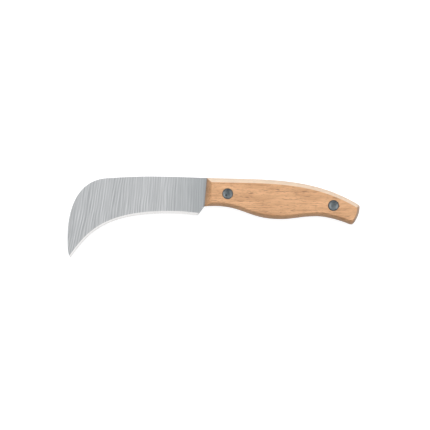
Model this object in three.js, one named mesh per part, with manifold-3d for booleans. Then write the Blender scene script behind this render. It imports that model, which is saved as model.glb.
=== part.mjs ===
// A hooked hoof knife: one steel stamping, blade and full tang together, between two wooden scales
// that two cutler's rivets clamp. Millimetres, +Z up. The knife lies on its side: -X is the hooked
// end, +X the butt and +Y the spine. The origin is the middle of the grip, on the face it lies on.
import * as THREE from "three";
import { mergeVertices, toCreasedNormals } from "three/addons/utils/BufferGeometryUtils.js";
import Module from "manifold-3d";

const wasm = await Module();
wasm.setup();

// ---------------------------------------------------------------------------------------------
// Driving dimensions. Places along the knife are measured from the shoulder, where the spine of
// the blade meets the handle. Depths are how far down (-Y) from the shoulder a point lies.
// ---------------------------------------------------------------------------------------------
const blade = {
  length: 95.6, // shoulder to the foremost point of the nose
  thickness: 1.6,
  crownRise: 1.0, // how far the spine rises above the shoulder
  crownAt: 40, // ahead of the shoulder
  noseLength: 27.3, // from where the spine turns down to the foremost point
  noseStartDepth: 0.15,
  foremostDepth: 40.1,
  tipDepth: 54.9,
  tipSetback: 1.8, // how far the tip lies behind the foremost point
  tipRound: 0.5, // how much of each side the blunted tip takes
  throatDepth: 24.5, // the highest place of the cutting edge
  throatAt: 28.5, // ahead of the shoulder
  heelDepth: 25.9,
  heelAt: 6.4, // ahead of the shoulder
  heelRound: 2.2, // how much of each side the rounded heel takes
  bevelWidth: 2.0,
  bevelWidthAtTip: 1.5,
  flatCornerRound: 0.3, // how much of each side the corners of the unground flats take
  edgeThickness: 0.12,
};

const handle = {
  length: 104.6, // shoulder to the rearmost point of the butt
  scaleThickness: 7.0,
  frontDepth: 19.6, // of the front end's lower corner
  frontRake: 1.75, // how far that corner lies ahead of the shoulder
  neckDepth: 19.3,
  neckAt: 5.2,
  bellyDepth: 28.25,
  bellyShare: 0.483, // the belly's place, as a share of the handle's length
  waistDepth: 26.3,
  waistShare: 0.72,
  buttTopDepth: 18.9,
  buttBottomDepth: 32.3,
  buttRake: 5.3, // how far the butt's lower corner lies ahead of its upper one
  buttSwell: 1.4, // how far the butt bulges past the line between its corners
  buttRound: 1.4, // how much of each side the rounds at the butt's corners take
  landHeight: 3.4, // the square stretch of each scale's side, next to the tang
  chamferTop: 2.9,
  chamferTopAtButt: 2.4,
  chamferBottom: 2.6,
  chamferButt: 1.7,
  chamferFront: 3.2, // at the shoulder; its inner edge stands square to the knife
  chamferCrown: 0.07, // how far the chamfers bulge, as a share of their width and height
};

const rivet = {
  headDiameter: 7.3,
  headThickness: 1.1,
  headSunk: 0.1, // the heads stay this far below the wood, so the knife lies on the wood
  dishDiameter: 5.2,
  dishDepth: 0.3,
  tubeDiameter: 4.7,
  pinDiameter: 2.9,
  frontSetback: 14.2, // behind the shoulder
  frontDrop: 0.7, // below the middle of the handle
  rearSetback: 18.1, // ahead of the butt
  tubeEndGap: 0.6, // the tube stops this far short of the pin's head
  pinEndGap: 2.6, // the pin stops this far short of the tube's head
  boreEndGap: 0.5, // the bore runs on this far past the pin
};

const clearance = {
  pinInBore: 0.05, // all of them radial
  tubeInWood: 0.1,
  headInWood: 0.12,
  tubeInTang: 0.2,
};

// How many straight steps stand in for each curve.
const steps = {
  dense: 160, // the sides, while they are moved in and cut at one another
  spine: 80,
  point: 12,
  edge: 80,
  heel: 4,
  top: 40,
  bottom: 56,
  butt: 8,
  front: 4,
  corner: 4,
  chamfer: 4,
  round: 48,
};

const totalThickness = 2 * handle.scaleThickness + blade.thickness;

// ---------------------------------------------------------------------------------------------
// Curves in the plane
// ---------------------------------------------------------------------------------------------
const at = (x, y) => new THREE.Vector2(x, y);

const towards = (degrees, distance = 1) => {
  const angle = THREE.MathUtils.degToRad(degrees);
  return at(distance * Math.cos(angle), distance * Math.sin(angle));
};

// A cubic that leaves `from` on one heading and reaches `to` on another, in degrees. The pulls
// are shares of the chord, and say how long the curve holds each heading.
function bend(from, fromHeading, fromPull, to, toHeading, toPull) {
  const chord = from.distanceTo(to);
  const leaving = from.clone().add(towards(fromHeading, chord * fromPull));
  const arriving = to.clone().sub(towards(toHeading, chord * toPull));
  return new THREE.CubicBezierCurve(from, leaving, arriving, to);
}

function chain(...curves) {
  const path = new THREE.CurvePath();
  curves.forEach((curve) => path.add(curve));
  return path;
}

// ---------------------------------------------------------------------------------------------
// The sides of the knife, counterclockwise, so the steel and the wood are always on the left
// ---------------------------------------------------------------------------------------------
const shoulder = at(0, 0);
const crown = at(-blade.crownAt, blade.crownRise);
const noseStart = at(blade.noseLength - blade.length, -blade.noseStartDepth);
const foremost = at(-blade.length, -blade.foremostDepth);
const tip = at(blade.tipSetback - blade.length, -blade.tipDepth);
const throat = at(-blade.throatAt, -blade.throatDepth);
const heel = at(-blade.heelAt, -blade.heelDepth);
const frontCorner = at(-handle.frontRake, -handle.frontDepth);
const neck = at(handle.neckAt, -handle.neckDepth);
const belly = at(handle.length * handle.bellyShare, -handle.bellyDepth);
const waist = at(handle.length * handle.waistShare, -handle.waistDepth);
const buttTop = at(handle.length, -handle.buttTopDepth);
const buttBottom = at(handle.length - handle.buttRake, -handle.buttBottomDepth);
const buttPull = buttTop.clone().lerp(buttBottom, 0.5).add(towards(-20, 2 * handle.buttSwell));

const spineSide = chain(
  bend(shoulder, 178, 0.33, crown, 180, 0.33),
  bend(crown, 180, 0.33, noseStart, 183.3, 0.33),
  bend(noseStart, 183.3, 0.52, foremost, 270, 0.2),
);
const pointSide = bend(foremost, 270, 0.45, tip, 300, 0.25);
const edgeSide = chain(
  bend(tip, 52.7, 0.24, throat, 0, 0.625),
  bend(throat, 0, 0.64, heel, 355, 0.3),
);
const heelSide = new THREE.LineCurve(heel, frontCorner);
const bottomSide = chain(
  bend(frontCorner, 5, 0.33, neck, 0, 0.33),
  bend(neck, 0, 0.43, belly, 0, 0.475),
  bend(belly, 0, 0.34, waist, 0, 0.45),
  bend(waist, 0, 0.165, buttBottom, 337.5, 0.51),
);
const buttSide = new THREE.QuadraticBezierCurve(buttBottom, buttPull, buttTop);
const topSide = bend(buttTop, 148.3, 0.355, shoulder, 178, 0.385);
const frontSide = new THREE.LineCurve(shoulder, frontCorner);

// A side's points, each moved to the left, into the shape, by an inset given at start and end.
function movedIn(curve, [atStart, atEnd]) {
  const points = curve.getSpacedPoints(steps.dense);
  const last = points.length - 1;
  return points.map((point, i) => {
    const before = points[Math.max(i - 1, 0)];
    const after = points[Math.min(i + 1, last)];
    const along = after.clone().sub(before).normalize();
    const inset = THREE.MathUtils.lerp(atStart, atEnd, i / last);
    return point.clone().add(at(-along.y, along.x).multiplyScalar(inset));
  });
}

// The same points with a straight run added at each end.
function runOn(points, distance) {
  const extended = (from, through) => through.clone().sub(from).setLength(distance).add(through);
  const before = extended(points[1], points[0]);
  const after = extended(points.at(-2), points.at(-1));
  return [before, ...points, after];
}

// ---------------------------------------------------------------------------------------------
// Closed outlines. Each side is { curve, steps, inset, round }: it is moved in by its inset, cut
// where it meets its neighbours, and its far corner is rounded over `round` of both sides. The
// number of points doesn't depend on the insets, so outlines can be joined point to point.
// ---------------------------------------------------------------------------------------------

// Where the segments ab and cd cross, or null.
function crossing(a, b, c, d) {
  const first = b.clone().sub(a);
  const second = d.clone().sub(c);
  const gap = c.clone().sub(a);
  const area = first.cross(second);
  const onFirst = gap.cross(second) / area;
  const onSecond = gap.cross(first) / area;
  const crosses = onFirst >= 0 && onFirst <= 1 && onSecond >= 0 && onSecond <= 1;
  return crosses ? a.clone().lerp(b, onFirst) : null;
}

// Cuts the end of one side and the start of the next at the corner where they cross.
function cutAtCorner(ending, starting) {
  for (let i = ending.length - 2; i >= 0; i--) {
    for (let j = 0; j < starting.length - 1; j++) {
      const corner = crossing(ending[i], ending[i + 1], starting[j], starting[j + 1]);
      if (!corner) continue;
      ending.splice(i + 1, ending.length, corner);
      starting.splice(0, j + 1, corner);
      return;
    }
  }
  throw new Error("two neighbouring sides of an outline don't meet");
}

function outline(sides) {
  const reach = 10; // how far a side that is moved in runs on, to be sure of meeting its neighbours
  const runs = sides.map(({ curve, inset }) =>
    inset ? runOn(movedIn(curve, inset), reach) : curve.getSpacedPoints(steps.dense),
  );
  const nextTo = (i) => (i + 1) % sides.length;
  sides.forEach(({ inset }, i) => {
    if (inset || sides[nextTo(i)].inset) cutAtCorner(runs[i], runs[nextTo(i)]);
  });
  const curves = runs.map((points) => new THREE.SplineCurve(points));
  const loop = [];
  sides.forEach(({ steps: count, round = 0 }, i) => {
    const roundBefore = sides.at(i - 1).round ?? 0;
    const start = roundBefore / curves[i].getLength();
    const end = 1 - round / curves[i].getLength();
    for (let k = 0; k < count; k++)
      loop.push(curves[i].getPointAt(THREE.MathUtils.lerp(start, end, k / count)));
    if (!round) return;
    const next = curves[nextTo(i)];
    const corner = new THREE.QuadraticBezierCurve(
      curves[i].getPointAt(end),
      runs[i].at(-1),
      next.getPointAt(round / next.getLength()),
    );
    loop.push(...corner.getPoints(steps.corner).slice(0, -1));
  });
  return loop;
}

// ---------------------------------------------------------------------------------------------
// Solids
// ---------------------------------------------------------------------------------------------

// The closed solid through a stack of outlines with equally many points, lowest first. Each layer
// is { points, z }.
function loft(layers) {
  const count = layers[0].points.length;
  const last = (layers.length - 1) * count;
  const positions = layers.flatMap(({ points, z }) => points.flatMap((p) => [p.x, p.y, z]));
  const faces = [];
  for (let layer = 0; layer < last; layer += count) {
    for (let i = 0; i < count; i++) {
      const a = layer + i;
      const b = layer + ((i + 1) % count);
      faces.push([a, b, b + count], [a, b + count, a + count]);
    }
  }
  const bottom = THREE.ShapeUtils.triangulateShape(layers[0].points, []);
  const top = THREE.ShapeUtils.triangulateShape(layers.at(-1).points, []);
  faces.push(...bottom.map(([a, b, c]) => [a, c, b]));
  faces.push(...top.map(([a, b, c]) => [last + a, last + b, last + c]));
  return new THREE.BufferGeometry()
    .setAttribute("position", new THREE.Float32BufferAttribute(positions, 3))
    .setIndex(faces.flat());
}

function toSolid(geometry) {
  const bare = geometry.clone();
  bare.deleteAttribute("normal");
  bare.deleteAttribute("uv");
  const merged = mergeVertices(bare);
  return new wasm.Manifold(
    new wasm.Mesh({
      numProp: 3,
      vertProperties: merged.attributes.position.array,
      triVerts: new Uint32Array(merged.index.array),
    }),
  );
}

// The geometry with every cutter taken out of it.
function cut(geometry, cutters) {
  const solid = cutters.reduce((rest, cutter) => rest.subtract(toSolid(cutter)), toSolid(geometry));
  const { vertProperties, triVerts } = solid.getMesh();
  return new THREE.BufferGeometry()
    .setAttribute("position", new THREE.BufferAttribute(vertProperties, 3))
    .setIndex(new THREE.BufferAttribute(triVerts, 1));
}

const overrun = 1; // how far a drill runs past the face it comes in or out at

// A round drill from z = low to z = high.
function drill(place, diameter, low, high) {
  const radius = diameter / 2;
  return new THREE.CylinderGeometry(radius, radius, high - low, steps.round)
    .rotateX(Math.PI / 2)
    .translate(place.x, place.y, (low + high) / 2);
}

// ---------------------------------------------------------------------------------------------
// Places on the grip, half way between its top and its bottom
// ---------------------------------------------------------------------------------------------
function heightOf(side, x) {
  const points = side.getSpacedPoints(steps.dense);
  const i = points.findIndex((p, k) => k > 0 && (p.x - x) * (points[k - 1].x - x) <= 0);
  return THREE.MathUtils.mapLinear(x, points[i - 1].x, points[i].x, points[i - 1].y, points[i].y);
}

function onGrip(x, drop = 0) {
  return at(x, (heightOf(topSide, x) + heightOf(bottomSide, x)) / 2 - drop);
}

const gripMiddle = onGrip(handle.length / 2);
const rivetPlaces = {
  front: onGrip(rivet.frontSetback, rivet.frontDrop),
  rear: onGrip(handle.length - rivet.rearSetback),
};

// ---------------------------------------------------------------------------------------------
// Blade and tang, one stamping, with its middle plane at z = 0
// ---------------------------------------------------------------------------------------------

// The stamping's outline at the cutting edge, or with its edge moved in to where the flats begin.
function bladeOutline(isFlat) {
  const inset = isFlat ? [blade.bevelWidthAtTip, blade.bevelWidth] : null;
  const tipRound = isFlat ? blade.flatCornerRound : blade.tipRound;
  const heelRound = isFlat ? blade.flatCornerRound : blade.heelRound;
  return outline([
    { curve: spineSide, steps: steps.spine },
    { curve: pointSide, steps: steps.point, round: tipRound },
    { curve: edgeSide, steps: steps.edge, round: heelRound, inset },
    { curve: heelSide, steps: steps.heel },
    { curve: bottomSide, steps: steps.bottom, round: handle.buttRound },
    { curve: buttSide, steps: steps.butt, round: handle.buttRound },
    { curve: topSide, steps: steps.top },
  ]);
}

function bladeGeometry() {
  const face = blade.thickness / 2;
  const edge = blade.edgeThickness / 2;
  const full = bladeOutline(false);
  const flat = bladeOutline(true);
  const sheet = loft([
    { points: flat, z: -face },
    { points: full, z: -edge },
    { points: full, z: edge },
    { points: flat, z: face },
  ]);
  const hole = rivet.tubeDiameter + 2 * clearance.tubeInTang;
  const through = face + overrun;
  return cut(sheet, Object.values(rivetPlaces).map((place) => drill(place, hole, -through, through)));
}

// ---------------------------------------------------------------------------------------------
// A wooden scale, with its outer face at z = 0 and the tang's face above it
// ---------------------------------------------------------------------------------------------
function scaleOutline(share) {
  const inset = (atStart, atEnd = atStart) => (share ? [share * atStart, share * atEnd] : null);
  const frontAtCorner = handle.chamferFront + handle.frontRake;
  return outline([
    { curve: frontSide, steps: steps.front, inset: inset(handle.chamferFront, frontAtCorner) },
    {
      curve: bottomSide,
      steps: steps.bottom,
      inset: inset(handle.chamferBottom),
      round: handle.buttRound,
    },
    {
      curve: buttSide,
      steps: steps.butt,
      inset: inset(handle.chamferButt),
      round: handle.buttRound,
    },
    {
      curve: topSide,
      steps: steps.top,
      inset: inset(handle.chamferTopAtButt, handle.chamferTop),
    },
  ]);
}

function scaleGeometry() {
  const chamferHeight = handle.scaleThickness - handle.landHeight;
  const pull = 0.5 - 2 * handle.chamferCrown;
  const profile = new THREE.QuadraticBezierCurve(at(1, 0), at(pull, pull), at(0, 1));
  const chamfered = profile.getPoints(steps.chamfer).map(({ x: share, y: rise }) => ({
    points: scaleOutline(share),
    z: rise * chamferHeight,
  }));
  const blank = loft([...chamfered, { points: scaleOutline(0), z: handle.scaleThickness }]);

  const seat = rivet.headThickness + rivet.headSunk;
  const headHole = rivet.headDiameter + 2 * clearance.headInWood;
  const tubeHole = rivet.tubeDiameter + 2 * clearance.tubeInWood;
  const drills = Object.values(rivetPlaces).flatMap((place) => [
    drill(place, headHole, -overrun, seat),
    drill(place, tubeHole, 0, handle.scaleThickness + overrun),
  ]);
  return cut(blank, drills);
}

// ---------------------------------------------------------------------------------------------
// Cutler's rivets. Each half stands with its dished face down, the underside of its head at z = 0
// and its shank up. Profiles are (radius, height), turned about Z.
// ---------------------------------------------------------------------------------------------
const gripLength = totalThickness - 2 * (rivet.headThickness + rivet.headSunk);

// The head, from the middle of its dish out and over the rim to its underside.
function headProfile() {
  const face = -rivet.headThickness;
  const headRadius = rivet.headDiameter / 2;
  const dishRadius = rivet.dishDiameter / 2;
  const dishFloor = face + rivet.dishDepth;
  const rimWidth = headRadius - dishRadius;
  const dish = new THREE.QuadraticBezierCurve(
    at(0, dishFloor),
    at(dishRadius * 0.7, dishFloor),
    at(dishRadius, face + rivet.dishDepth * 0.3),
  );
  const rim = new THREE.QuadraticBezierCurve(
    at(dishRadius + rimWidth * 0.25, face),
    at(headRadius, face),
    at(headRadius, face + rimWidth * 0.35),
  );
  return [...dish.getPoints(3), ...rim.getPoints(4), at(headRadius, 0)];
}

function turned(profile) {
  return new THREE.LatheGeometry(profile, steps.round).rotateX(Math.PI / 2);
}

function pinHalfGeometry() {
  const radius = rivet.pinDiameter / 2;
  const length = gripLength - rivet.pinEndGap;
  const lead = radius * 0.3; // the pin's end is chamfered, to start in the tube
  return turned([
    ...headProfile(),
    at(radius, 0),
    at(radius, length - lead),
    at(radius - lead, length),
    at(0, length),
  ]);
}

function tubeHalfGeometry() {
  const outer = rivet.tubeDiameter / 2;
  const bore = rivet.pinDiameter / 2 + clearance.pinInBore;
  const length = gripLength - rivet.tubeEndGap;
  const boreEnd = rivet.pinEndGap - rivet.boreEndGap;
  return turned([
    ...headProfile(),
    at(outer, 0),
    at(outer, length),
    at(bore, length),
    at(bore, boreEnd),
    at(0, boreEnd),
  ]);
}

// ---------------------------------------------------------------------------------------------
// Materials and assembly
// ---------------------------------------------------------------------------------------------
const steel = new THREE.MeshStandardMaterial({ color: 0xb4b5b7, roughness: 0.4, metalness: 1 });
const wood = new THREE.MeshStandardMaterial({ color: 0xd8ab84, roughness: 0.6, metalness: 0 });
const rivetSteel = new THREE.MeshStandardMaterial({ color: 0x6f7679, roughness: 0.35, metalness: 1 });

function piece(name, geometry, material) {
  const mesh = new THREE.Mesh(toCreasedNormals(geometry, Math.PI / 6), material);
  mesh.name = name;
  return mesh;
}

function bladePiece() {
  const mesh = piece("blade", bladeGeometry(), steel);
  mesh.position.z = totalThickness / 2;
  return mesh;
}

// The right-hand scale is the one underneath; the left-hand one is its mirror image on top.
function scalePair() {
  const geometry = scaleGeometry();
  const lower = piece("scale_right", geometry, wood);
  const upper = piece("scale_left", geometry, wood);
  upper.scale.z = -1;
  upper.position.z = totalThickness;
  return [lower, upper];
}

function rivetPair(where) {
  const seat = rivet.headThickness + rivet.headSunk;
  const tube = piece(`${where}_rivet_tube`, tubeHalfGeometry(), rivetSteel);
  tube.position.z = seat;
  const pin = piece(`${where}_rivet_pin`, pinHalfGeometry(), rivetSteel);
  pin.position.z = totalThickness - seat;
  pin.rotation.x = Math.PI;
  const pair = new THREE.Group();
  pair.position.set(rivetPlaces[where].x, rivetPlaces[where].y, 0);
  return pair.add(tube, pin);
}

const group = new THREE.Group();
group.name = "hoof_knife";
const assembly = new THREE.Group();
assembly.position.set(-gripMiddle.x, -gripMiddle.y, 0);
assembly.add(bladePiece(), ...scalePair(), rivetPair("front"), rivetPair("rear"));
group.add(assembly);

export default group;
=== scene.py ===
# %% [markdown]
# # A hooked hoof knife
#
# A farrier's knife with a hooked blade: one steel stamping that runs on through the handle as a
# full tang, two wooden scales, and two rivets, each made of a half with a pin and a half with a
# tube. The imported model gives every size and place. Here each piece is modelled again with the
# softened edges, ground facets and finishes of the real thing, on exactly the same spot.

import math

import bmesh
import bpy
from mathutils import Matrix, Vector


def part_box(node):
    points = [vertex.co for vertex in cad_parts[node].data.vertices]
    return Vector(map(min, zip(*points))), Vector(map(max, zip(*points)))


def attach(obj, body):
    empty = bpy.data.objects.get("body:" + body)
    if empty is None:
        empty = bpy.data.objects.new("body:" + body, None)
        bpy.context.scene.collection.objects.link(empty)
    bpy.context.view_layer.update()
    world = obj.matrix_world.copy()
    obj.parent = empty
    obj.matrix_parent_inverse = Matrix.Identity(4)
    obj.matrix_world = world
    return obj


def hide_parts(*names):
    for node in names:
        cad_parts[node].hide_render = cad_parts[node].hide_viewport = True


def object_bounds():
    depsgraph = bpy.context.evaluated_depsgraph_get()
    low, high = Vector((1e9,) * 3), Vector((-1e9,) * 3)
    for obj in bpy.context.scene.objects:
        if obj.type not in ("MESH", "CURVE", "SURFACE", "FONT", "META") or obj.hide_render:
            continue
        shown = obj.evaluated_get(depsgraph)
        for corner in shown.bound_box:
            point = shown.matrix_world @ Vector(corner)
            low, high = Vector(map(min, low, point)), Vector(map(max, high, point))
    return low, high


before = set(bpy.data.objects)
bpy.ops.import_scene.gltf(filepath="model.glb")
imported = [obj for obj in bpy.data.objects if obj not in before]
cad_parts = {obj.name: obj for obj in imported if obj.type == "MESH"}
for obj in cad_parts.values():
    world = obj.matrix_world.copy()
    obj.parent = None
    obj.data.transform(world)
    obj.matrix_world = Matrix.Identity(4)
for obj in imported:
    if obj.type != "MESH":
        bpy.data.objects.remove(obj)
cad_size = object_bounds()
print("pieces in the frame:", sorted(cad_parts))


# %% [markdown]
# ## Bench, camera and light
#
# The knife lies on its side on a white table, and the camera looks straight down at it through a
# long lens, so that hardly any perspective shows. A plain table could be lit until it is white, but
# then the knife would be overlit too. A light table is simpler: it glows by itself, which also keeps
# the shadows faint. Its glow is kept out of the wood's shading, where it would wash out the shaded
# lower chamfer.
#
# Four soft boxes do the rest. One hangs overhead, where the flats of the blade mirror it. The sheen
# box stands low behind the knife and gives only gloss, which falls on the upper chamfer. The glint
# box gives only gloss too, in the ground edge. The bounce card fills in without being mirrored.

# %% Millimetres, and the size of what is being shown
MM = 0.001
low, high = (Vector(corner) for corner in cad_size)
middle = (low + high) / 2
print("the knife is", [round(side / MM, 2) for side in high - low], "mm")

# %% The light table
TABLE_WIDTH = 8.0
TABLE_PAINT = (0.3, 0.3, 0.3, 1.0)
TABLE_GLOW = 0.9

bpy.ops.object.select_all(action="DESELECT")
bpy.ops.mesh.primitive_plane_add(size=TABLE_WIDTH, location=(middle.x, middle.y, 0))
table = bpy.context.object
table.name = "light_table"
table_top = bpy.data.materials.new("table_top")
table_top.use_nodes = True
surface = table_top.node_tree.nodes["Principled BSDF"]
surface.inputs["Base Color"].default_value = TABLE_PAINT
surface.inputs["Roughness"].default_value = 0.8
surface.inputs["Emission Color"].default_value = (1.0, 1.0, 1.0, 1.0)
surface.inputs["Emission Strength"].default_value = TABLE_GLOW
table.data.materials.append(table_top)
table.visible_diffuse = False
print("table:", TABLE_WIDTH, "m wide")

# %% The camera, straight above
LENS = 200.0
SENSOR = 36.0
VIEW_WIDTH = 295.1 * MM
aim = middle + Vector((1.05 * MM, 1.42 * MM, 0))
distance = VIEW_WIDTH * LENS / SENSOR

bpy.ops.object.camera_add(location=aim + Vector((0, 0, distance)), rotation=(0, 0, 0))
camera = bpy.context.object
camera.data.lens = LENS
camera.data.sensor_width = SENSOR
camera.data.clip_start = 0.01
bpy.context.scene.camera = camera
bpy.context.scene.view_settings.view_transform = "Standard"
print("camera:", round(distance, 3), "m above the knife")


# %% Soft boxes
def soft_box(name, heading, height, away, size, power):
    """A soft light that looks at the knife from a compass heading and a height, in degrees."""
    turn = math.radians(heading)
    rise = math.radians(height)
    flat = math.cos(rise)
    direction = Vector((flat * math.cos(turn), flat * math.sin(turn), math.sin(rise)))
    facing = direction.to_track_quat("Z", "Y").to_euler()
    bpy.ops.object.light_add(type="AREA", location=middle + direction * away, rotation=facing)
    lamp = bpy.context.object
    lamp.name = name
    lamp.data.shape = "RECTANGLE"
    lamp.data.size, lamp.data.size_y = size
    lamp.data.energy = power
    lamp.visible_camera = False
    return lamp


soft_box("overhead", heading=90, height=77, away=2.0, size=(2.8, 1.5), power=16)
sheen = soft_box("sheen", heading=90, height=10, away=2.0, size=(2.8, 0.9), power=13)
glint = soft_box("glint", heading=-66, height=47, away=2.0, size=(3.4, 1.3), power=14.5)
bounce_card = soft_box("bounce_card", heading=84, height=68, away=2.0, size=(1.4, 1.4), power=21)
sheen.visible_diffuse = False
glint.visible_diffuse = False
bounce_card.visible_glossy = False

# %% The room's own light, from a pale wall behind the knife to a dark one in front
ROOM_LIGHT_BEHIND = 0.42
ROOM_LIGHT_IN_FRONT = 0.14

room = bpy.data.worlds.new("room")
bpy.context.scene.world = room
room.use_nodes = True
room.node_tree.nodes["Background"].inputs["Color"].default_value = (0.96, 0.98, 1.0, 1.0)
sky = room.node_tree.nodes.new("ShaderNodeTexCoord")
heading = room.node_tree.nodes.new("ShaderNodeSeparateXYZ")
level = room.node_tree.nodes.new("ShaderNodeMapRange")
level.inputs["From Min"].default_value = -0.6
level.inputs["From Max"].default_value = 0.6
level.inputs["To Min"].default_value = ROOM_LIGHT_IN_FRONT
level.inputs["To Max"].default_value = ROOM_LIGHT_BEHIND
room.node_tree.links.new(sky.outputs["Generated"], heading.inputs[0])
room.node_tree.links.new(heading.outputs["Y"], level.inputs["Value"])
room.node_tree.links.new(level.outputs[0], room.node_tree.nodes["Background"].inputs["Strength"])
print("room light:", ROOM_LIGHT_IN_FRONT, "to", ROOM_LIGHT_BEHIND)


# %% [markdown]
# ## Tracing the frame
#
# A cutler starts from a template. So do the pieces here: a copy of a frame piece is sliced at some
# height, and the cut edge is read off as a ring of points, in order. The ring is then split at its
# corners, and each stretch gets evenly spread points, so that rings taken at different heights have
# matching points and can be joined one above the other.


# %% Small helpers for selecting and editing
def only(piece):
    """Nothing selected but this piece, which is also the active one."""
    bpy.ops.object.select_all(action="DESELECT")
    piece.select_set(True)
    bpy.context.view_layer.objects.active = piece


def edit(piece, mode="VERT"):
    """Edit mode on this piece alone, with nothing in it selected."""
    only(piece)
    bpy.ops.object.mode_set(mode="EDIT")
    bpy.ops.mesh.select_mode(type=mode)
    bpy.ops.mesh.select_all(action="DESELECT")


def stop_editing():
    """Back to object mode, which writes the edits into the mesh."""
    bpy.ops.object.mode_set(mode="OBJECT")


def pick(piece, mode, wanted):
    """Edit mode, with only those faces, edges or vertices selected that pass a test."""
    edit(piece, mode)
    shape = bmesh.from_edit_mesh(piece.data)
    parts = {"VERT": shape.verts, "EDGE": shape.edges, "FACE": shape.faces}[mode]
    chosen = [part for part in parts if wanted(part)]
    for part in chosen:
        part.select_set(True)
    shape.select_flush_mode()
    bmesh.update_edit_mesh(piece.data)
    return len(chosen)


# %% Slice a frame piece and read the cut as a ring
def ring_from(neighbours, start):
    """The closed ring of vertices that starts here."""
    ring = [start]
    step = neighbours[start][0]
    while step != start:
        ring.append(step)
        step = next(other for other in neighbours[step] if other != ring[-2])
    return ring


def trace(node, height):
    """The outline of a frame piece at a height, as points in order, counterclockwise."""
    template = bpy.data.objects.new("template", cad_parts[node].data.copy())
    bpy.context.collection.objects.link(template)
    edit(template)
    bpy.ops.mesh.select_all(action="SELECT")
    bpy.ops.mesh.remove_doubles(threshold=1e-6)
    bpy.ops.mesh.bisect(plane_co=(0, 0, height), plane_no=(0, 0, 1), threshold=1e-7)
    bpy.ops.mesh.select_all(action="INVERT")
    bpy.ops.mesh.delete(type="VERT")
    bpy.ops.mesh.select_all(action="SELECT")
    bpy.ops.mesh.remove_doubles(threshold=0.01 * MM)
    stop_editing()

    neighbours = {vertex.index: [] for vertex in template.data.vertices}
    for edge in template.data.edges:
        first, second = edge.vertices
        neighbours[first].append(second)
        neighbours[second].append(first)
    if any(len(joined) != 2 for joined in neighbours.values()):
        raise ValueError("the cut isn't made of closed rings")
    rings = []
    left = set(neighbours)
    while left:
        rings.append(ring_from(neighbours, min(left)))
        left -= set(rings[-1])
    places = template.data.vertices
    points = [Vector(places[i].co.xy) for i in max(rings, key=len)]
    bpy.data.objects.remove(template)
    area = sum(a.cross(b) for a, b in zip(points, points[1:] + points[:1]))
    return points if area > 0 else points[::-1]


blade_low, blade_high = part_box("blade")
scale_low, scale_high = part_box("scale_left")
blade_middle = (blade_low.z + blade_high.z) / 2
face = blade_high.z - blade_middle
print("half the blade's thickness is", round(face / MM, 2), "mm")


# %% Corners of a ring, and points spread evenly between them
def farthest(ring, direction):
    """The ring's point that lies farthest in a direction."""
    return max(ring, key=lambda point: point.dot(Vector(direction)))


def nearest(ring, place):
    """The ring's point that lies nearest to a place."""
    return min(ring, key=lambda point: (point - place).length)


def stretch(ring, start, end):
    """The ring's points from one corner to another, going counterclockwise."""
    first = ring.index(start)
    turned = ring[first:] + ring[:first]
    return turned[: turned.index(end) + 1] if end != start else turned + [start]


def slope(points, along, i):
    """The direction of a smooth line through the points, at one of them."""
    before, after = max(i - 1, 0), min(i + 1, len(points) - 1)
    return (points[after] - points[before]) / (along[after] - along[before])


def spread(points, steps):
    """`steps` points on a smooth line through the given points, evenly spaced, without its end.

    Between two points the line is the cubic curve that leaves and arrives in their directions.
    """
    along = [0.0]
    for a, b in zip(points, points[1:]):
        along.append(along[-1] + (b - a).length)
    result = []
    i = 0
    for k in range(steps):
        goal = along[-1] * k / steps
        while along[i + 1] < goal:
            i += 1
        span = along[i + 1] - along[i]
        t = (goal - along[i]) / span
        start, end = points[i], points[i + 1]
        leaving, arriving = slope(points, along, i) * span, slope(points, along, i + 1) * span
        result.append(
            start * (2 * t**3 - 3 * t**2 + 1)
            + leaving * (t**3 - 2 * t**2 + t)
            + end * (3 * t**2 - 2 * t**3)
            + arriving * (t**3 - t**2)
        )
    return result


def measured_ring(ring, corners, steps):
    """A ring with a fixed number of points on the stretch after each corner."""
    ends = corners[1:] + corners[:1]
    result = []
    for start, end, count in zip(corners, ends, steps):
        result += spread(stretch(ring, start, end), count)
    return result


# %% The handle's outline at any height
FRONT_STEPS, BOTTOM_STEPS, BUTT_STEPS, TOP_STEPS = 12, 96, 36, 84


def scale_ring(height):
    """A scale's outline at a height: from the shoulder down the front, and round to it again."""
    ring = trace("scale_left", height)
    corners = [farthest(ring, way) for way in ((-1, 1), (-1, -1), (1, -1), (1, 1))]
    return measured_ring(ring, corners, (FRONT_STEPS, BOTTOM_STEPS, BUTT_STEPS, TOP_STEPS))


at_tang = scale_ring(scale_low.z + 0.1 * MM)
shoulder = at_tang[0]
front_corner = at_tang[FRONT_STEPS]
print("shoulder at", [round(side / MM, 2) for side in shoulder], "mm")

# %% The blade's outline, at the cutting edge and where the flats begin
EDGE_STEPS, HEEL_STEPS, GRIP_STEPS, BACK_STEPS, SPINE_STEPS = 150, 16, 96, 110, 190


def blade_ring(height):
    """The stamping's outline at a height, from the tip along the edge, and round to it again."""
    ring = trace("blade", height)
    ahead = [point for point in ring if point.x < front_corner.x]
    corners = [
        farthest(ring, (0, -1)),
        farthest(ahead, (1, -1)),
        nearest(ring, front_corner),
        farthest(ring, (1, -1)),
        nearest(ring, shoulder),
    ]
    return measured_ring(
        ring, corners, (EDGE_STEPS, HEEL_STEPS, GRIP_STEPS, BACK_STEPS, SPINE_STEPS)
    )


edge_ring = blade_ring(blade_middle)
flat_ring = blade_ring(blade_high.z - 0.002 * MM)
print("blade rings:", len(edge_ring), "and", len(flat_ring), "points")


# %% [markdown]
# ## Building a piece from rings
#
# A circle is a ring of points with a face across it. Put onto a traced outline it becomes a sheet of
# exactly that shape, and extruding its rim down from ring to ring makes the sides. Each point
# remembers its number in the ring, so that it finds its place in the next one.


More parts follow.
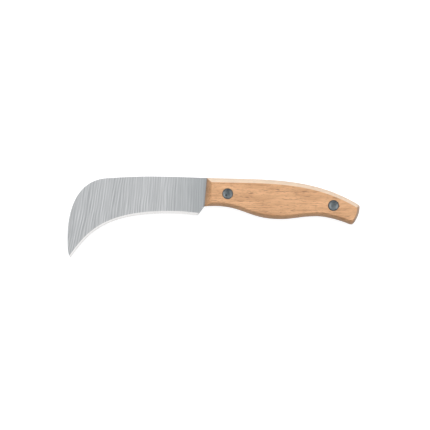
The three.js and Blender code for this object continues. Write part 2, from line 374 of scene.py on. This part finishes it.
# %% Start a piece with its top face, and take its rim down to the next ring
def start_piece(name, ring, height):
    """A sheet of the ring's shape, made from a circle of that many points."""
    bpy.ops.object.select_all(action="DESELECT")
    centre = sum(ring, Vector((0, 0))) / len(ring)
    reach = max((point - centre).length for point in ring)
    bpy.ops.mesh.primitive_circle_add(
        vertices=len(ring), radius=reach, fill_type="NGON", location=(*centre, height)
    )
    bpy.ops.object.transform_apply(location=True, rotation=True, scale=True)
    piece = bpy.context.object
    piece.name = name
    number = piece.data.attributes.new("number", "INT", "POINT")
    for i, vertex in enumerate(piece.data.vertices):
        number.data[i].value = i
        vertex.co = (*ring[i], height)
    only(piece)
    bpy.ops.object.mode_set(mode="EDIT")
    bpy.ops.mesh.select_all(action="SELECT")
    bpy.ops.mesh.normals_make_consistent(inside=False)
    stop_editing()
    return piece


def extend(piece, ring, height):
    """The rim extruded, and each of its new points moved onto the next ring."""
    pick(piece, "EDGE", lambda edge: edge.is_boundary)
    bpy.ops.mesh.extrude_edges_move()
    stop_editing()
    number = piece.data.attributes["number"].data
    for vertex in piece.data.vertices:
        if vertex.select:
            vertex.co = (*ring[number[vertex.index].value], height)


def close_rim(piece):
    """A face across the open rim, with every face turned outwards."""
    pick(piece, "EDGE", lambda edge: edge.is_boundary)
    bpy.ops.mesh.edge_face_add()
    bpy.ops.mesh.select_all(action="SELECT")
    bpy.ops.mesh.normals_make_consistent(inside=False)
    stop_editing()


def blend_rings(first, second, share):
    """A ring that lies part of the way from one ring to another."""
    return [a.lerp(b, share) for a, b in zip(first, second)]


# %% Soften chosen edges, drill holes, and shade a finished piece
def soften(piece, width, segments, wanted):
    """The chosen edges bevelled, as fine paper takes the bite off them."""
    count = pick(piece, "EDGE", wanted)
    bpy.ops.mesh.bevel(
        offset=width, offset_type="OFFSET", segments=segments, profile=0.5, clamp_overlap=True
    )
    stop_editing()
    return count


def apply_all(piece):
    """Every modifier made permanent."""
    only(piece)
    for modifier in list(piece.modifiers):
        bpy.ops.object.modifier_apply(modifier=modifier.name)


def cut_away(piece, cutter):
    """Whatever the cutter takes out of the piece, and the cutter gone."""
    hole = piece.modifiers.new("hole", "BOOLEAN")
    hole.operation = "DIFFERENCE"
    hole.solver = "EXACT"
    hole.object = cutter
    apply_all(piece)
    bpy.data.objects.remove(cutter)


def drill(piece, place, radius, bottom, top):
    """A round hole, straight down, from one height to another."""
    bpy.ops.object.select_all(action="DESELECT")
    bpy.ops.mesh.primitive_cylinder_add(
        vertices=72, radius=radius, depth=top - bottom, location=(*place, (bottom + top) / 2)
    )
    cut_away(piece, bpy.context.object)


def shade(piece, degrees=30):
    """Smooth over the softened edges, and flat on the flats."""
    only(piece)
    bpy.ops.object.shade_smooth_by_angle(angle=math.radians(degrees))
    weighted = piece.modifiers.new("weighted", "WEIGHTED_NORMAL")
    weighted.keep_sharp = True
    apply_all(piece)


def put_in_place(piece, *nodes, slot):
    """The finished piece takes the place of its frame pieces."""
    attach(piece, "root")
    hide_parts(*nodes)
    print(piece.name, "has", len(piece.data.polygons), "faces")


# %% [markdown]
# ## The blade and its tang
#
# The real one is stamped from 1.6 mm strip, brushed, and then ground along its inner curve. The
# grind leaves a bright band 2 mm wide, and honing leaves a second, steeper facet next to the edge.
# The blade is the same on both sides, so one half is built down to the middle plane and mirrored.
# That can't go wrong between the sides, and takes half the work.

# %% Half a blade, from the flat down to the middle
HONED_FROM = 0.62  # the share of the grind's width that is left above the honing
HONED_HEIGHT = 0.36 * MM
EDGE_HALF = 0.03 * MM  # half the thickness that a sharp edge still has

blade = start_piece("hooked_blade", flat_ring, face)
extend(blade, blend_rings(flat_ring, edge_ring, HONED_FROM), HONED_HEIGHT)
extend(blade, edge_ring, EDGE_HALF)
extend(blade, edge_ring, 0.0)
print("half a blade:", len(blade.data.vertices), "points")


# %% Break the sharp edges left by the stamping, but not the ground one
STAMPED_EDGE = 0.16 * MM


def is_stamped_edge(edge):
    """An edge between the flat and an upright side."""
    at_face = all(vertex.co.z > face - 0.01 * MM for vertex in edge.verts)
    return at_face and any(abs(side.normal.z) < 0.1 for side in edge.link_faces)


softened = soften(blade, STAMPED_EDGE, 2, is_stamped_edge)
print("softened", softened, "edges of the stamping")

# %% Mirror it, lift it to its height, and drill it for the rivets
TANG_HOLE_RADIUS = 2.55 * MM

mirror = blade.modifiers.new("mirror", "MIRROR")
mirror.use_axis = (False, False, True)
mirror.use_clip = True
mirror.merge_threshold = 0.004 * MM
apply_all(blade)
edit(blade)
bpy.ops.mesh.select_all(action="SELECT")
bpy.ops.transform.translate(value=(0, 0, blade_middle))
bpy.ops.mesh.normals_make_consistent(inside=False)
stop_editing()


def centre_of(node):
    """The middle of a frame piece, seen from above."""
    lowest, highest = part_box(node)
    return Vector(((lowest + highest) / 2).xy)


rivet_places = {"front": centre_of("front_rivet_pin"), "rear": centre_of("rear_rivet_pin")}
for place in rivet_places.values():
    drill(blade, place, TANG_HOLE_RADIUS, blade_low.z - MM, blade_high.z + MM)
print("rivets at", {key: [round(side / MM, 1) for side in xy] for key, xy in rivet_places.items()})

# %% Keep the borders of the ground faces crisp, and shade the rest smoothly
SMALLEST_GROUND_FACE = 0.2 * MM * MM


def is_ground(place_x, upward, area):
    """The ground faces lean away from level, but are nowhere near upright, and aren't tiny."""
    leans = 0.7 < abs(upward) < 0.985
    return place_x < front_corner.x and leans and area > SMALLEST_GROUND_FACE


def borders_the_grind(edge):
    """An edge with a ground face beside it and a bend of at least two degrees."""
    if edge.calc_face_angle(0) < math.radians(2):
        return False
    return any(
        is_ground(side.calc_center_median().x, side.normal.z, side.calc_area())
        for side in edge.link_faces
    )


crisp = pick(blade, "EDGE", borders_the_grind)
bpy.ops.mesh.mark_sharp()
stop_editing()
print("crisp edges along the grind:", crisp)
shade(blade)


# %% [markdown]
# ## The wooden scales
#
# Each scale is sawn to the tang's outline, chamfered all round and sanded, which leaves the edges
# between the chamfers soft to the hand. The chamfers bulge a little, so they are followed in four
# rings. Boring tears the grain, which has left two nicks beside the rear seat. The far scale is the
# near one's mirror image, so it is a mirrored copy with a mesh of its own.

# %% The near scale, ring by ring from its outer face to the tang
LAND_TOP = scale_low.z + 3.4 * MM  # where the square side next to the tang ends
CHAMFER_RINGS = 4

upper_scale = start_piece("near_scale", scale_ring(scale_high.z - 0.002 * MM), scale_high.z)
for k in range(1, CHAMFER_RINGS + 1):
    height = scale_high.z + (LAND_TOP - scale_high.z) * k / CHAMFER_RINGS
    extend(upper_scale, scale_ring(height - 0.002 * MM), height)
extend(upper_scale, at_tang, scale_low.z)
close_rim(upper_scale)
print("scale:", len(upper_scale.data.vertices), "points before sanding")


# %% Sand its edges, all but those that lie on the tang
SANDED_EDGE = 0.2 * MM
SHARPEST_LEFT = math.radians(17)


def is_sanded_edge(edge):
    """A sharp edge that isn't on the tang."""
    on_tang = all(vertex.co.z < scale_low.z + 0.01 * MM for vertex in edge.verts)
    return not on_tang and edge.calc_face_angle(0) > SHARPEST_LEFT


sanded = soften(upper_scale, SANDED_EDGE, 2, is_sanded_edge)
print("sanded", sanded, "edges")

# %% Bore it for the rivets: a wide seat for each head, and a hole for its tube
SEAT_RADIUS = 3.77 * MM
SEAT_FLOOR = scale_high.z - 1.2 * MM
TUBE_HOLE_RADIUS = 2.45 * MM

for place in rivet_places.values():
    drill(upper_scale, place, SEAT_RADIUS, SEAT_FLOOR, scale_high.z + MM)
    drill(upper_scale, place, TUBE_HOLE_RADIUS, scale_low.z - MM, scale_high.z)
print("bored", len(rivet_places), "seats")


# %% Two nicks beside the rear seat, where the drill tore the grain
NICK_SIZE = (0.75 * MM, 0.34 * MM, 1.4 * MM)
NICKS_AT = (-4.0 * MM, 4.05 * MM)  # before and behind the rivet's middle
NICKS_BELOW = 0.45 * MM

for away in NICKS_AT:
    bpy.ops.object.select_all(action="DESELECT")
    spot = rivet_places["rear"] + Vector((away, -NICKS_BELOW))
    bpy.ops.mesh.primitive_uv_sphere_add(
        segments=16, ring_count=8, radius=1, location=(*spot, scale_high.z), scale=NICK_SIZE
    )
    cut_away(upper_scale, bpy.context.object)
shade(upper_scale, 35)
print("nicks beside the rear seat:", len(NICKS_AT))


# %% The far scale, a mirrored copy
def copy_of(piece, name):
    """A copy with its own mesh."""
    copy = bpy.data.objects.new(name, piece.data.copy())
    bpy.context.collection.objects.link(copy)
    return copy


lower_scale = copy_of(upper_scale, "far_scale")
edit(lower_scale)
bpy.ops.mesh.select_all(action="SELECT")
bpy.ops.transform.resize(value=(1, 1, -1), center_override=(0, 0, blade_middle))
bpy.ops.mesh.flip_normals()
stop_editing()
shade(lower_scale, 35)
print("far scale from z =", round(min(v.co.z for v in lower_scale.data.vertices) / MM, 2), "mm")


# %% [markdown]
# ## The rivets
#
# A cutler's rivet is turned on a lathe. Its head has a rounded rim and a shallow dish, and under it
# stands a pin, or the tube that the pin is driven into. Both halves start as a circle at the head's
# underside. Extruding and insetting the same face again and again follows the turned profile. The
# punch that drove the front pin home has left a mark in its dish.

# %% Sizes of a rivet
HEAD_RADIUS = 3.65 * MM
HEAD_THICKNESS = 1.1 * MM
PIN_RADIUS = 1.45 * MM
TUBE_RADIUS = 2.35 * MM
BORE_RADIUS = 1.5 * MM
pin_low, pin_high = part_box("front_rivet_pin")
tube_low, tube_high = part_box("front_rivet_tube")
print("pin half", round((pin_high.z - pin_low.z) / MM, 2), "mm tall")


# %% Follow a turned profile from a selected face
def step_face(inward, up):
    """The selected face inset, then lifted or sunk."""
    bpy.ops.mesh.inset(thickness=inward, depth=0)
    bpy.ops.transform.translate(value=(0, 0, up))


# Steps of (inward, up) in millimetres: round the rim, and then down into the dish.
RIM_STEPS = ((0.05, 0.13), (0.09, 0.08), (0.13, 0.05), (0.28, 0.0), (0.1, -0.02))
DISH_STEPS = ((0.3, -0.09), (0.45, -0.1), (0.5, -0.06), (0.5, -0.03), (0.5, 0.0))
RIM_HEIGHT = 0.26 * MM


def rivet_head(name):
    """A head with its underside at z = 0 and its dish on top, all but its shank."""
    bpy.ops.object.select_all(action="DESELECT")
    bpy.ops.mesh.primitive_circle_add(vertices=72, radius=HEAD_RADIUS, fill_type="NGON")
    head = bpy.context.object
    head.name = name
    edit(head, "FACE")
    bpy.ops.mesh.select_all(action="SELECT")
    bpy.ops.mesh.extrude_region_move(
        TRANSFORM_OT_translate={"value": (0, 0, HEAD_THICKNESS - RIM_HEIGHT)}
    )
    for inward, up in RIM_STEPS + DISH_STEPS:
        step_face(inward * MM, up * MM)
    stop_editing()
    return head


def add_shank(head, profile):
    """The underside inset and extruded down along a profile of (inward, down) steps."""
    pick(head, "FACE", lambda side: abs(side.calc_center_median().z) < 0.01 * MM)
    for inward, down in profile:
        step_face(inward, down)
    bpy.ops.mesh.select_all(action="SELECT")
    bpy.ops.mesh.normals_make_consistent(inside=False)
    stop_editing()


pin_head = rivet_head("front_pin")
print("head:", len(pin_head.data.polygons), "faces")

# %% The pin half, and the tube half that starts from a copy of its head
CLOSE = 0.0005 * MM  # an inset too narrow to see, which gives the next step a face of its own
PIN_CHAMFER = 0.43 * MM
TUBE_END_WALL = 2.1 * MM
tube_head = copy_of(pin_head, "front_tube")
pin_length = pin_high.z - pin_low.z - HEAD_THICKNESS
add_shank(
    pin_head,
    [
        (HEAD_RADIUS - PIN_RADIUS, 0),
        (CLOSE, PIN_CHAMFER - pin_length),
        (PIN_CHAMFER, -PIN_CHAMFER),
    ],
)
tube_length = tube_high.z - tube_low.z - HEAD_THICKNESS
add_shank(
    tube_head,
    [
        (HEAD_RADIUS - TUBE_RADIUS, 0),
        (CLOSE, -tube_length),
        (TUBE_RADIUS - BORE_RADIUS, 0),
        (CLOSE, tube_length - TUBE_END_WALL),
    ],
)
print("pin", round(pin_length / MM, 2), "mm, tube", round(tube_length / MM, 2), "mm")


# %% Lay the turner's pattern on them, shade them, and set them into their seats
MAP_WIDTH = 10 * MM


def lay_face_map(piece):
    """A map of the head seen from above, a centimetre wide, instead of the circle's own map."""
    for layer in list(piece.data.uv_layers):
        piece.data.uv_layers.remove(layer)
    face_map = piece.data.uv_layers.new(name="turning")
    for loop in piece.data.loops:
        spot = piece.data.vertices[loop.vertex_index].co
        face_map.data[loop.index].uv = (spot.x / MAP_WIDTH + 0.5, spot.y / MAP_WIDTH + 0.5)


def set_rivet(piece, place, height, flipped=False):
    """The half moved into its seat, and turned over if its head goes underneath."""
    edit(piece)
    bpy.ops.mesh.select_all(action="SELECT")
    if flipped:
        bpy.ops.transform.rotate(value=math.pi, orient_axis="X", center_override=(0, 0, 0))
    bpy.ops.transform.translate(value=(*place, height))
    stop_editing()


for half in (pin_head, tube_head):
    lay_face_map(half)
    shade(half, 40)
rear_pin = copy_of(pin_head, "rear_pin")
rear_tube = copy_of(tube_head, "rear_tube")
pin_seat = pin_high.z - HEAD_THICKNESS
tube_seat = tube_low.z + HEAD_THICKNESS
set_rivet(pin_head, rivet_places["front"], pin_seat)
set_rivet(rear_pin, rivet_places["rear"], pin_seat)
set_rivet(tube_head, rivet_places["front"], tube_seat, flipped=True)
set_rivet(rear_tube, rivet_places["rear"], tube_seat, flipped=True)
print("heads at z =", round(pin_high.z / MM, 2), "and", round(tube_low.z / MM, 2), "mm")

# %% The punch mark that the front head carries, off its middle
PUNCH_RADIUS = 0.62 * MM
PUNCH_DEPTH = 0.22 * MM  # of the middle of its round point below the rim
PUNCH_OFF_MIDDLE = Vector((-1.0 * MM, -1.05 * MM))

bpy.ops.object.select_all(action="DESELECT")
mark = rivet_places["front"] + PUNCH_OFF_MIDDLE
bpy.ops.mesh.primitive_uv_sphere_add(
    segments=24,
    ring_count=16,
    radius=PUNCH_RADIUS,
    location=(*mark, pin_high.z - PUNCH_DEPTH),
)
cut_away(pin_head, bpy.context.object)
shade(pin_head, 40)
print("punch mark at", [round(side / MM, 1) for side in mark])


# %% [markdown]
# ## Finishes
#
# Every finish is made of nodes. A few short helpers keep them readable: `add` makes one node and
# fills its sockets, either with a value or with a link.


# %% Node helpers
def new_finish(name):
    """A new material, with its tree of nodes and the node that is its surface."""
    material = bpy.data.materials.new(name)
    material.use_nodes = True
    tree = material.node_tree
    return material, tree, tree.nodes["Principled BSDF"]


def fill(tree, node, sockets):
    """Sockets filled with values, or joined to the outputs of other nodes."""
    for name, value in sockets.items():
        if isinstance(value, bpy.types.NodeSocket):
            tree.links.new(value, node.inputs[name])
        else:
            node.inputs[name].default_value = value


def add(tree, kind, sockets, **settings):
    """A new node, with its settings and its sockets; gives back its first output."""
    node = tree.nodes.new("ShaderNode" + kind)
    for name, value in settings.items():
        setattr(node, name, value)
    fill(tree, node, sockets)
    return node.outputs[0]


def calculate(tree, operation, first, second=0.0, third=0.0):
    """One sum; MULTIPLY_ADD is first times second, plus third."""
    return add(tree, "Math", {0: first, 1: second, 2: third}, operation=operation)


def grain(tree, vector, scale, detail=3.0, rough=0.5):
    """Noise between 0 and 1, as fine along x, y and z as the scale's features per metre."""
    placed = add(tree, "Mapping", {"Vector": vector, "Scale": scale})
    sockets = {"Vector": placed, "Scale": 1.0, "Detail": detail, "Roughness": rough}
    return add(tree, "TexNoise", sockets)


def between(tree, value, start, end, low=0.0, high=1.0):
    """A value's place between start and end, as a number from low to high."""
    sockets = {"Value": value, 1: start, 2: end, 3: low, 4: high}
    return add(tree, "MapRange", sockets, clamp=True)


def mix(tree, share, first, second):
    """Two colours mixed, with the share of the second."""
    node = tree.nodes.new("ShaderNodeMix")
    node.data_type = "RGBA"
    fill(tree, node, {0: share, 6: first, 7: second})
    return node.outputs[2]


def bump(tree, height, depth, under=None):
    """Relief of a real depth in metres."""
    sockets = {"Height": height, "Distance": depth, "Strength": 1.0}
    if under:
        sockets["Normal"] = under
    return add(tree, "Bump", sockets)


# %% [markdown]
# ### Brushed steel
#
# A belt runs across the blade from spine to edge. It leaves fine lines, straight across near the
# handle and leaning a little towards the tip, and among them broader light and dark streaks. The
# lines are noise that is drawn out along their own direction. The streaks are a sine wave across
# them, which drifts and comes and goes so that it never looks ruled. The steel is greyer towards
# the handle.

# %% Where each point lies across the brush lines
LEAN_AT_TIP = math.tan(math.radians(11))  # straight across at the shoulder


def brush_place(tree):
    """A place measured across the lines, along them and up, in metres; and the place along X."""
    place = add(tree, "TexCoord", {}).node.outputs["Object"]
    split = add(tree, "SeparateXYZ", {"Vector": place}).node
    x, y, z = split.outputs
    lean = between(tree, x, blade_low.x, shoulder.x, LEAN_AT_TIP, 0.0)
    drop = calculate(tree, "SUBTRACT", y, shoulder.y)
    across = calculate(tree, "SUBTRACT", x, calculate(tree, "MULTIPLY", drop, lean))
    return add(tree, "CombineXYZ", {0: across, 1: y, 2: z}), x


# %% The brushed flats
STREAK_WIDTH = 1.75 * MM
STEEL_LIGHT = (0.60, 0.605, 0.612, 1.0)
STEEL_DARK = (0.28, 0.29, 0.297, 1.0)
GREY_LENGTH = 30 * MM
STEEL_BY_HANDLE = (0.30, 0.318, 0.326, 1.0)

brushed_steel, tree, surface = new_finish("brushed_steel")
lines, along_x = brush_place(tree)
across = add(tree, "SeparateXYZ", {"Vector": lines})
drift = calculate(tree, "MULTIPLY", grain(tree, lines, (150, 40, 400), detail=1), 9.0)
phase = calculate(tree, "MULTIPLY_ADD", across, math.tau / STREAK_WIDTH, drift)
patches = grain(tree, lines, (420, 70, 400), detail=1)
half_strength = between(tree, patches, 0.35, 0.65, 0.08, 0.5)
streaks = calculate(tree, "MULTIPLY_ADD", calculate(tree, "SINE", phase), half_strength, 0.5)
bands = between(tree, grain(tree, lines, (260, 20, 400), detail=2), 0.3, 0.7)
hairlines = grain(tree, lines, (4200, 60, 400), detail=2, rough=0.6)
hairs = between(tree, hairlines, 0.3, 0.7)
polish = calculate(tree, "MULTIPLY", streaks, 0.5)
polish = calculate(tree, "MULTIPLY_ADD", bands, 0.15, polish)
polish = calculate(tree, "MULTIPLY_ADD", hairs, 0.35, polish)
colour = mix(tree, polish, STEEL_DARK, STEEL_LIGHT)
by_handle = between(tree, along_x, shoulder.x - GREY_LENGTH, shoulder.x, 0.0, 0.7)
colour = mix(tree, by_handle, colour, STEEL_BY_HANDLE)
relief = bump(tree, hairlines, 0.004 * MM)
relief = bump(tree, streaks, 0.003 * MM, under=relief)
finish = {
    "Base Color": colour,
    "Metallic": 1.0,
    "Roughness": between(tree, polish, 0.2, 0.8, 0.40, 0.30),
    "Normal": relief,
}
fill(tree, surface, finish)
print("brushed steel:", len(tree.nodes), "nodes")

# %% The ground and honed edge
EDGE_DULL = (0.76, 0.75, 0.74, 1.0)
EDGE_BRIGHT = (0.85, 0.835, 0.825, 1.0)

edge_steel, tree, surface = new_finish("ground_edge")
lines, along_x = brush_place(tree)
scratches = grain(tree, lines, (2600, 200, 400), detail=2, rough=0.6)
patches = grain(tree, lines, (120, 120, 400), detail=2)
polish = calculate(tree, "MULTIPLY", scratches, 0.5)
polish = calculate(tree, "MULTIPLY_ADD", patches, 0.5, polish)
finish = {
    "Base Color": mix(tree, between(tree, polish, 0.3, 0.7), EDGE_DULL, EDGE_BRIGHT),
    "Metallic": 1.0,
    "Roughness": between(tree, scratches, 0.3, 0.7, 0.26, 0.34),
    "Normal": bump(tree, scratches, 0.001 * MM),
}
fill(tree, surface, finish)
print("ground edge:", len(tree.nodes), "nodes")

# %% Give the flats one finish and the ground faces the other
blade.data.materials.append(brushed_steel)
blade.data.materials.append(edge_steel)
for side in blade.data.polygons:
    ground = is_ground(side.center.x, side.normal.z, side.area)
    side.material_index = 1 if ground else 0
print("ground faces:", sum(side.material_index for side in blade.data.polygons))

# %% [markdown]
# ### Oiled hardwood
#
# The scales are a pale, straight-grained hardwood. Along the handle run soft darker bands of growth
# and fine fibres, and short dark pores lie scattered between them. All of it is noise in space,
# drawn out along the handle, so the ends of the scales show end grain without any further work. End
# grain drinks more oil and is darker. The upper chamfers are much paler where the light falls on
# them. Part of that is painted sheen, a paler colour on the faces that lean towards the back, and
# only the rest comes from the sheen box.

# %% The wood
GRAIN_SWAY = 5 * MM
WOOD_PALE = (0.90, 0.51, 0.26, 1.0)
WOOD_DEEP = (0.61, 0.32, 0.148, 1.0)
WOOD_LINE = (0.50, 0.235, 0.095, 1.0)
WOOD_PORE = (0.27, 0.115, 0.045, 1.0)
# painted sheen: the pale colour laid on the upper chamfers, which face the light
WOOD_PAINTED_SHEEN = (0.92, 0.78, 0.62, 1.0)
WOOD_END = (0.33, 0.215, 0.145, 1.0)

hardwood, tree, surface = new_finish("oiled_hardwood")
place = add(tree, "TexCoord", {}).node.outputs["Object"]
sway = grain(tree, place, (22, 60, 60), detail=2)
wander = add(tree, "CombineXYZ", {1: calculate(tree, "MULTIPLY", sway, GRAIN_SWAY)})
along_grain = add(tree, "VectorMath", {0: place, 1: wander}, operation="ADD")
growth = between(tree, grain(tree, along_grain, (26, 330, 260), detail=3), 0.3, 0.72)
clouds = grain(tree, along_grain, (45, 120, 120), detail=2)
fibres = grain(tree, along_grain, (100, 1500, 1300), detail=4, rough=0.65)
late_wood = grain(tree, along_grain, (48, 900, 700), detail=3, rough=0.6)
pores = grain(tree, along_grain, (420, 3000, 2600), detail=2)
flecks = grain(tree, along_grain, (190, 1700, 1500), detail=2)

tone = calculate(tree, "MULTIPLY", clouds, 0.5)
tone = calculate(tree, "MULTIPLY_ADD", growth, 0.5, tone)
colour = mix(tree, between(tree, tone, 0.2, 0.8), WOOD_PALE, WOOD_DEEP)
colour = mix(tree, between(tree, fibres, 0.42, 0.66, 0.0, 0.6), colour, WOOD_DEEP)
crowded = between(tree, clouds, 0.40, 0.62, 0.15, 1.0)
late = between(tree, late_wood, 0.47, 0.62, 0.0, 0.8)
colour = mix(tree, calculate(tree, "MULTIPLY", late, crowded), colour, WOOD_LINE)
pore_share = between(tree, pores, 0.60, 0.68, 0.0, 0.5)
fleck_share = between(tree, flecks, 0.595, 0.70, 0.0, 0.75)
dark_share = calculate(tree, "MAXIMUM", pore_share, fleck_share)
colour = mix(tree, dark_share, colour, WOOD_PORE)

facing = add(tree, "NewGeometry", {}).node.outputs["Normal"]
facing_x, facing_y, facing_z = add(tree, "SeparateXYZ", {"Vector": facing}).node.outputs
# Painted sheen: slanted faces that lean towards the back, where the sheen box stands, are made
# paler.
slanted = between(tree, calculate(tree, "ABSOLUTE", facing_z), 0.15, 0.45, 0.12, 0.63)
painted_highlight = calculate(tree, "MULTIPLY", between(tree, facing_y, 0.3, 0.5), slanted)
colour = mix(tree, painted_highlight, colour, WOOD_PAINTED_SHEEN)
lengthwise = calculate(tree, "ABSOLUTE", facing_x)
end_grain = between(tree, lengthwise, 0.4, 0.8, 0.0, 0.55)
colour = mix(tree, end_grain, colour, WOOD_END)
relief = bump(tree, fibres, 0.012 * MM)
relief = bump(tree, calculate(tree, "MULTIPLY", dark_share, -1.0), 0.05 * MM, under=relief)
finish = {
    "Base Color": colour,
    "Roughness": between(tree, fibres, 0.3, 0.7, 0.42, 0.56),
    "Specular IOR Level": 0.3,
    "Coat Weight": 0.7,
    "Coat Roughness": 0.46,
    "Normal": relief,
}
fill(tree, surface, finish)
for scale in (upper_scale, lower_scale):
    scale.data.materials.append(hardwood)
print("wood:", len(tree.nodes), "nodes")

# %% [markdown]
# ### Turned rivet steel
#
# The heads are darker than the blade and carry fine rings from the lathe. The rings are noise along
# the distance from the head's own middle, read from the map laid on it while it was modelled. The
# same map places a painted highlight: paler metal inside the rim to either side, where the turned
# rings would mirror the light. Smudges lie over it all.

# %% The rivets' finish
RIVET_DARK = (0.105, 0.12, 0.125, 1.0)
RIVET_LIGHT = (0.17, 0.19, 0.20, 1.0)
# painted highlight: the paler metal that stands in for light mirrored in the turned rings
RIVET_PAINTED_HIGHLIGHT = (0.29, 0.315, 0.325, 1.0)
RIVET_SMUDGE = (0.07, 0.08, 0.085, 1.0)

rivet_steel, tree, surface = new_finish("turned_steel")
head_map = add(tree, "UVMap", {}, uv_map="turning")
from_middle = add(tree, "VectorMath", {0: head_map, 1: (0.5, 0.5, 0.0)}, operation="SUBTRACT")
radius = add(tree, "VectorMath", {0: from_middle}, operation="LENGTH").node.outputs["Value"]
ring_place = add(tree, "CombineXYZ", {0: calculate(tree, "MULTIPLY", radius, MAP_WIDTH)})
rings = grain(tree, ring_place, (9000, 1, 1), detail=2)
colour = mix(tree, between(tree, rings, 0.3, 0.7), RIVET_DARK, RIVET_LIGHT)

# Painted highlight: paler metal to the left and right inside the rim, in place of a reflection.
to_the_side = add(tree, "SeparateXYZ", {"Vector": from_middle})
to_the_side = calculate(tree, "DIVIDE", to_the_side, calculate(tree, "MAXIMUM", radius, 0.001))
painted_highlight = calculate(tree, "MULTIPLY", to_the_side, to_the_side)
painted_highlight = calculate(tree, "MULTIPLY", painted_highlight, between(tree, radius, 0.13, 0.24))
painted_highlight = calculate(tree, "MULTIPLY", painted_highlight, between(tree, radius, 0.34, 0.28))
colour = mix(tree, painted_highlight, colour, RIVET_PAINTED_HIGHLIGHT)
object_place = add(tree, "TexCoord", {}).node.outputs["Object"]
smudges = grain(tree, object_place, (620, 420, 500), detail=3)
colour = mix(tree, between(tree, smudges, 0.42, 0.72, 0.0, 0.6), colour, RIVET_SMUDGE)
finish = {
    "Base Color": colour,
    "Metallic": 1.0,
    "Roughness": between(tree, smudges, 0.3, 0.7, 0.34, 0.46),
    "Normal": bump(tree, rings, 0.006 * MM),
}
fill(tree, surface, finish)
for half in (pin_head, rear_pin, tube_head, rear_tube):
    half.data.materials.append(rivet_steel)
print("rivet steel:", len(tree.nodes), "nodes")

# %% [markdown]
# ## Handing over
#
# Each piece takes the place of its frame piece.

# %% Put every piece in place
put_in_place(blade, "blade", slot="blade_steel")
put_in_place(upper_scale, "scale_left", slot="scale_wood")
put_in_place(lower_scale, "scale_right", slot="scale_wood")
put_in_place(pin_head, "front_rivet_pin", slot="rivet_steel")
put_in_place(rear_pin, "rear_rivet_pin", slot="rivet_steel")
put_in_place(tube_head, "front_rivet_tube", slot="rivet_steel")
put_in_place(rear_tube, "rear_rivet_tube", slot="rivet_steel")
